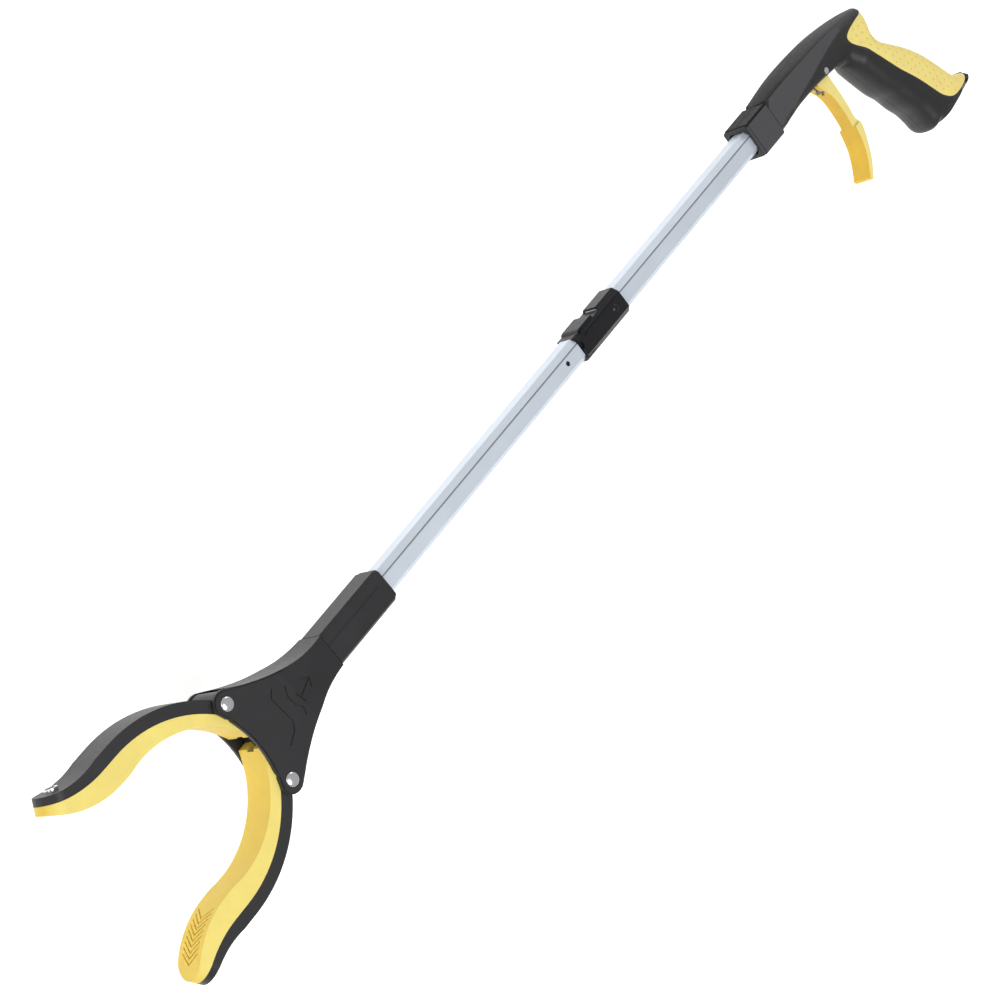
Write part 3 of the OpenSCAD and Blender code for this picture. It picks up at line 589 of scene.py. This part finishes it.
def handle_surface():
    """Points for a 2D triangulation of the handle's side: outline, pad edge, dimple centres, ring size,
    point layout and their real places.
    """
    outline = Outline()
    edge = resample(spline(PAD_EDGE, 6), 1.3)
    crease = resample(outline.crease, 2.0)
    n = len(outline.ring)
    layout, place = [outline.ring], [outline.ring]
    for k, share in enumerate((0.01, 0.05, 0.15, 0.35, 0.62), 1):
        drawn = outline.ring + outline.inward * 0.75 * k
        real = outline.ring + outline.inward * np.minimum(share * outline.radius, 0.75 * k)[:, None]
        ok = (outline.depth(drawn) > 0.71 * k) & (distance(drawn, edge) > 0.8) & inside(drawn, outline.ring)
        layout.append(drawn[ok])
        place.append(real[ok])
    edge_in = edge[(outline.depth(edge) > 0.3)]
    for line in (edge_in, crease[outline.depth(crease) > 4.5]):
        layout.append(line)
        place.append(line)
    normal = np.gradient(edge_in, axis=0)
    normal = np.c_[-normal[:, 1], normal[:, 0]] / np.hypot(*normal.T)[:, None]
    for offset in (-0.55, 0.55):
        beside = edge_in + normal * offset
        beside = beside[outline.depth(beside) > 0.8]
        layout.append(beside)
        place.append(beside)
    dimples = dimple_centres(outline, edge)
    for radius, count in ((0.0, 1), (0.5, 6), (1.0, 8)):
        for i in range(count):
            a = 2 * math.pi * i / count
            ring = dimples + radius * np.array((math.cos(a), math.sin(a)))
            layout.append(ring)
            place.append(ring)
    taken = np.concatenate(layout)
    grid = np.array([
        (x + 0.85 * (j % 2), y)
        for j, y in enumerate(np.arange(-13, 92, 1.5)) for x in np.arange(24, 188, 1.7)
    ])
    grid = grid[inside(grid, outline.ring) & (outline.depth(grid) > 4.6)]
    near = np.array([np.min(np.hypot(*(taken - g).T)) for g in grid])
    layout.append(grid[near > 0.9])
    place.append(grid[near > 0.9])
    layout, place = np.concatenate(layout), np.concatenate(place)
    return outline, edge, dimples, n, layout, place


def solid(name, layout, top, bottom, triangles, sharp=()):
    """Closed mesh between two surfaces over the same triangles. Points are already in the row frame."""
    used = np.unique(triangles)
    index = {int(v): i for i, v in enumerate(used)}
    k = len(used)
    faces = []
    count = {}
    for tri in triangles:
        a, b, c = (index[int(v)] for v in tri)
        faces.append((a, b, c))
        faces.append((a + k, c + k, b + k))
        for edge in ((a, b), (b, c), (c, a)):
            count[frozenset(edge)] = count.get(frozenset(edge), 0) + 1
    for tri in triangles:
        a, b, c = (index[int(v)] for v in tri)
        for u, v in ((a, b), (b, c), (c, a)):
            if count[frozenset((u, v))] == 1:
                faces.append((v, u, u + k, v + k))
    mesh = bpy.data.meshes.new(name)
    mesh.from_pydata([tuple(p) for p in np.vstack([top[used], bottom[used]])], [], faces)
    work = bmesh.new()
    work.from_mesh(mesh)
    marked = {index[int(v)] for v in sharp if int(v) in index}
    work.verts.ensure_lookup_table()
    for edge in work.edges:
        if edge.verts[0].index in marked and edge.verts[1].index in marked:
            edge.smooth = False
    bmesh.ops.remove_doubles(work, verts=work.verts, dist=0.004 * MM)
    bmesh.ops.recalc_face_normals(work, faces=work.faces)
    for face in work.faces:
        face.smooth = True
    work.to_mesh(mesh)
    work.free()
    obj = bpy.data.objects.new(name, mesh)
    scene.collection.objects.link(obj)
    return obj


def cylinder_cutter(s, t, radius, low, high):
    work = bmesh.new()
    bmesh.ops.create_cone(
        work, cap_ends=True, segments=40, radius1=radius, radius2=radius, depth=high - low,
        matrix=Matrix.Translation((s, t, (low + high) / 2)),
    )
    return work


def box_cutter(low, high):
    work = bmesh.new()
    size = [b - a for a, b in zip(low, high)]
    middle = [(a + b) / 2 for a, b in zip(low, high)]
    bmesh.ops.create_cube(work, size=1, matrix=Matrix.Translation(middle) @ Matrix.Diagonal((*size, 1)))
    return work


def cut(obj, cutters, to_row):
    """Takes handle-frame cutters out of a piece."""
    for work in cutters:
        mesh = bpy.data.meshes.new("cutter")
        for v in work.verts:
            v.co = to_row(v.co.x, v.co.y, v.co.z)
        bmesh.ops.recalc_face_normals(work, faces=work.faces)
        work.to_mesh(mesh)
        work.free()
        tool = bpy.data.objects.new("cutter", mesh)
        scene.collection.objects.link(tool)
        bool_mod = obj.modifiers.new("cut", "BOOLEAN")
        bool_mod.operation = "DIFFERENCE"
        bool_mod.solver = "EXACT"
        bool_mod.object = tool
        bpy.context.view_layer.update()
        result = bpy.data.meshes.new_from_object(obj.evaluated_get(bpy.context.evaluated_depsgraph_get()))
        obj.modifiers.clear()
        old = obj.data
        obj.data = result
        bpy.data.meshes.remove(old)
        bpy.data.objects.remove(tool)
        bpy.data.meshes.remove(mesh)


def per_vertex(obj, name, values):
    """Stores one number per vertex, for the material to read."""
    obj.data.attributes.new(name, "FLOAT", "POINT").data.foreach_set("value", values.astype(np.float32))


def build_handle_skin():
    collar_low, collar_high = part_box("handle_collar")
    mouth_x = collar_high.x
    axis_y = (collar_low.y + collar_high.y) / 2
    axis_z = (collar_low.z + collar_high.z) / 2

    def to_row(s, t, z):
        return Vector((mouth_x - s * MM, axis_y + t * MM, axis_z + z * MM))

    def to_handle(obj):
        return np.array([((mouth_x - v.co.x) / MM, (v.co.y - axis_y) / MM) for v in obj.data.vertices])

    outline, edge, dimples, n, layout, place = handle_surface()
    loop = [(i, (i + 1) % n) for i in range(n)]
    start = {tuple(np.round(p, 5)): i for i, p in enumerate(layout)}
    chain = [start[tuple(np.round(p, 5))] for p in edge if tuple(np.round(p, 5)) in start]
    crease_points = [tuple(np.round(p, 5)) for p in resample(outline.crease, 2.0)]
    crease = [start[p] for p in crease_points if p in start]
    edges = loop + list(zip(chain, chain[1:])) + list(zip(crease, crease[1:]))
    found = delaunay_2d_cdt([Vector(p) for p in layout], edges, [], 0, 1e-5, True)
    verts, faces, origin = found[0], found[2], found[3]
    flat = np.array([(v.x, v.y) for v in verts])
    real = np.array([
        place[o[0]] if o else f for o, f in zip(origin, flat)
    ])
    triangles = np.array([list(f) for f in faces])
    middle = flat[triangles].mean(axis=1)
    triangles = triangles[inside(middle, outline.ring)]
    middle = flat[triangles].mean(axis=1)
    side = flat[triangles]
    area = np.cross(side[:, 1] - side[:, 0], side[:, 2] - side[:, 0])
    triangles[area < 0] = triangles[area < 0][:, ::-1]
    pad_ring = np.vstack([spline(PAD_REAR, 4), edge])
    is_pad = inside(middle, pad_ring)

    height = np.maximum(outline.height(real), 0)
    to_edge = distance(real, edge)
    to_dimple = np.array([np.min(np.hypot(*(dimples - p).T)) for p in real])
    swell = PAD_RISE * ease(to_edge / 1.1) * ease(height / 4)
    pad_height = height + swell - DIMPLE_DEPTH * (1 - ease(to_dimple))
    shell_height = height - 0.3 * (1 - ease(to_edge / 0.5))
    marks = [i for i, o in enumerate(origin) if o and o[0] in set(crease)]

    def surface(z):
        return np.array([to_row(s, t, h) for (s, t), h in zip(real, z)])

    pieces = []
    sides = (("handle_skin_left", 1, "handle_shell_left"), ("handle_skin_right", -1, "handle_shell_right"))
    for name, sign, node in sides:
        top = surface(sign * np.maximum(shell_height, SHELL_SEAM))
        bottom = surface(np.full(len(real), sign * SHELL_SEAM))
        piece = solid(name, flat, top, bottom, triangles[~is_pad], marks)
        cutters = [box_cutter(*SLOT), cylinder_cutter(*PIVOT, PIN_BORE, -20, 20)]
        if sign < 0:
            cutters += [cylinder_cutter(*screw, SCREW_SEAT, -20, SCREW_SEAT_FLOOR) for screw in SCREWS]
        cut(piece, cutters, to_row)
        s, t = to_handle(piece).T
        # Vertices on the flat side above the crease: where the painted highlight goes.
        above = t <= np.interp(s, *outline.crease.T) + ON_CREASE
        per_vertex(piece, "painted_side_light", above)
        pieces.append((piece, node, "black_shell"))
    rim = np.maximum(pad_height, 0)
    pad = solid("grip_pad_skin", flat, surface(rim), surface(-rim), triangles[is_pad])
    # Painted shade around each dimple centre, for the pad material.
    hollow = np.array([1 - ease(np.min(np.hypot(*(dimples - p).T)) / DIMPLE_SHADE_REACH) for p in to_handle(pad)])
    per_vertex(pad, "hollow", hollow)
    pieces.append((pad, "grip_pad", "pad_yellow"))
    for piece, node, slot in pieces:
        piece.data.materials.clear()
        piece.data.materials.append(PAINTED_LIGHT_HANDLE if slot == "black_shell" else MATERIALS[slot])
        shading = piece.modifiers.new("shading", "NODES")
        shading.node_group = SMOOTH
        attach(piece, "handle")
        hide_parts(node)


build_handle_skin()


# ---------- floor, light and camera ----------

FLOOR_DROP = 58 * MM


def floor():
    mesh = bpy.data.meshes.new("floor")
    r = 6.0
    mesh.from_pydata(
        [(x, y, -FLOOR_DROP) for x, y in ((-r, -r), (r, -r), (r, r), (-r, r))], [], [(0, 1, 2, 3)]
    )
    obj = bpy.data.objects.new("floor", mesh)
    scene.collection.objects.link(obj)
    mesh.materials.append(floor_paper("floor_paper"))


def area_light(name, place, target, size, power):
    light = bpy.data.lights.new(name, "AREA")
    light.shape = "DISK"
    light.size = size
    light.energy = power
    obj = bpy.data.objects.new(name, light)
    scene.collection.objects.link(obj)
    obj.location = place
    obj.rotation_euler = (Vector(target) - Vector(place)).to_track_quat("-Z", "Y").to_euler()


floor()
middle = (0.0, 0.0, 0.02)
area_light("key", (0.7, 0.5, 2.2), middle, 1.3, 30)
area_light("fill", (1.8, -1.0, 1.1), middle, 1.6, 7)
area_light("rim", (-1.5, -0.9, 1.0), middle, 1.0, 5)

world = bpy.data.worlds.new("studio")
scene.world = world
world.use_nodes = True
world.node_tree.nodes["Background"].inputs["Color"].default_value = (1, 1, 1, 1)
world.node_tree.nodes["Background"].inputs["Strength"].default_value = 0.42
scene.view_settings.view_transform = "Standard"

camera = bpy.data.cameras.new("camera")
camera.lens = 99.91
camera.sensor_width = 36
camera.shift_x = 0.0076
camera.shift_y = 0.0034
viewer = bpy.data.objects.new("camera", camera)
scene.collection.objects.link(viewer)
viewer.location = (0.8864, -0.4820, 1.2178)
viewer.rotation_euler = [math.radians(a) for a in (9.595, -36.918, 132.531)]
scene.camera = viewer
